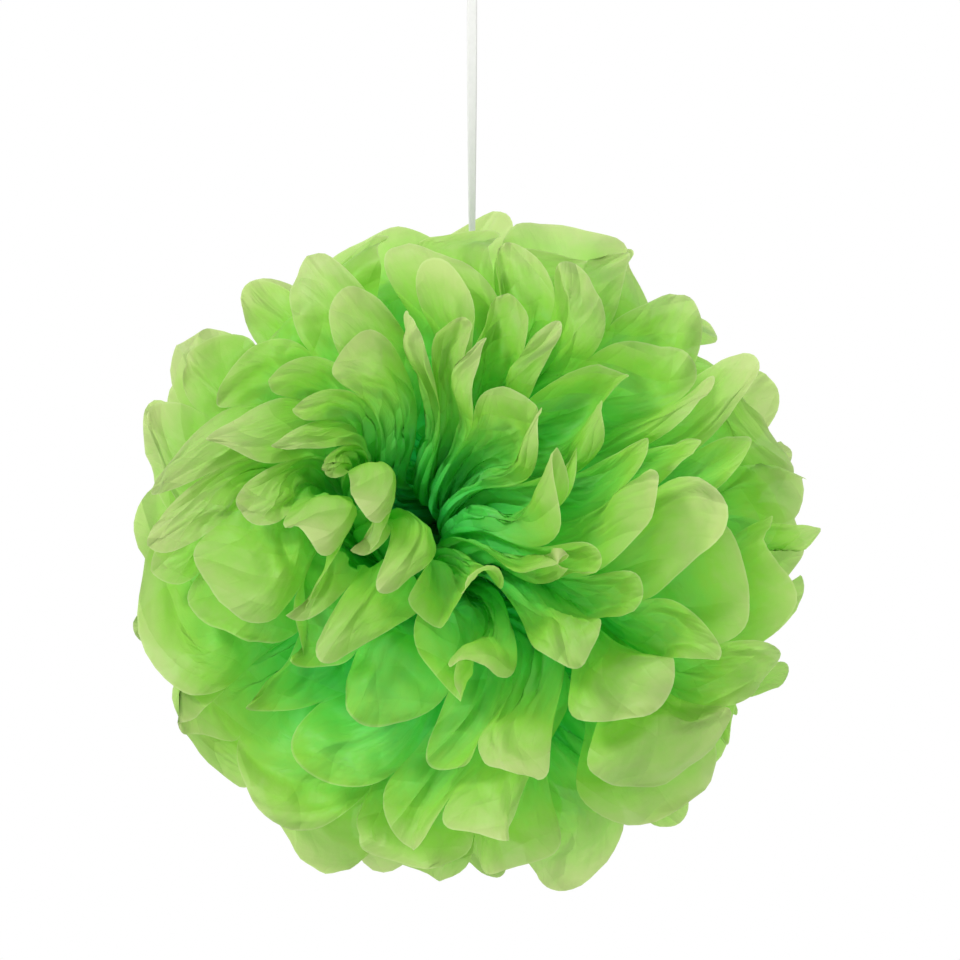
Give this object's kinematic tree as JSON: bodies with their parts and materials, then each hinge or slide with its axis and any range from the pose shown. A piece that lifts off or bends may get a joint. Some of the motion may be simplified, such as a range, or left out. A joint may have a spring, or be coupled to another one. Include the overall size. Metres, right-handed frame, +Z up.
{
  "type": "tissue paper pom pom",
  "caption": "Hanging ball of pleated tissue paper sheets, tied at the middle, cut to round petals and fluffed open, on a flat ribbon with a knotted hanging loop.",
  "frame": {"origin": "inner top of the hanging loop, where it bears on its hook", "axes": "+Z up along the ribbon, -Y out of the ball's open face, towards the viewer, +X to the viewer's right"},
  "size_m": [0.4025, 0.4053, 0.5686],
  "materials": {
    "tissue_paper": "thin matt tissue, lime green, slightly see-through",
    "ribbon": "white woven ribbon with a soft sheen"
  },
  "bodies": {
    "root": {"tissue_sheet_1": "tissue_paper", "tissue_sheet_2": "tissue_paper", "tissue_sheet_3": "tissue_paper", "tissue_sheet_4": "tissue_paper", "tissue_sheet_5": "tissue_paper", "tissue_sheet_6": "tissue_paper", "tissue_sheet_7": "tissue_paper", "tissue_sheet_8": "tissue_paper", "tissue_sheet_9": "tissue_paper", "tissue_sheet_10": "tissue_paper", "centre_tie": "ribbon", "hanging_ribbon": "ribbon", "hanging_loop": "ribbon"}
  },
  "joints": []
}
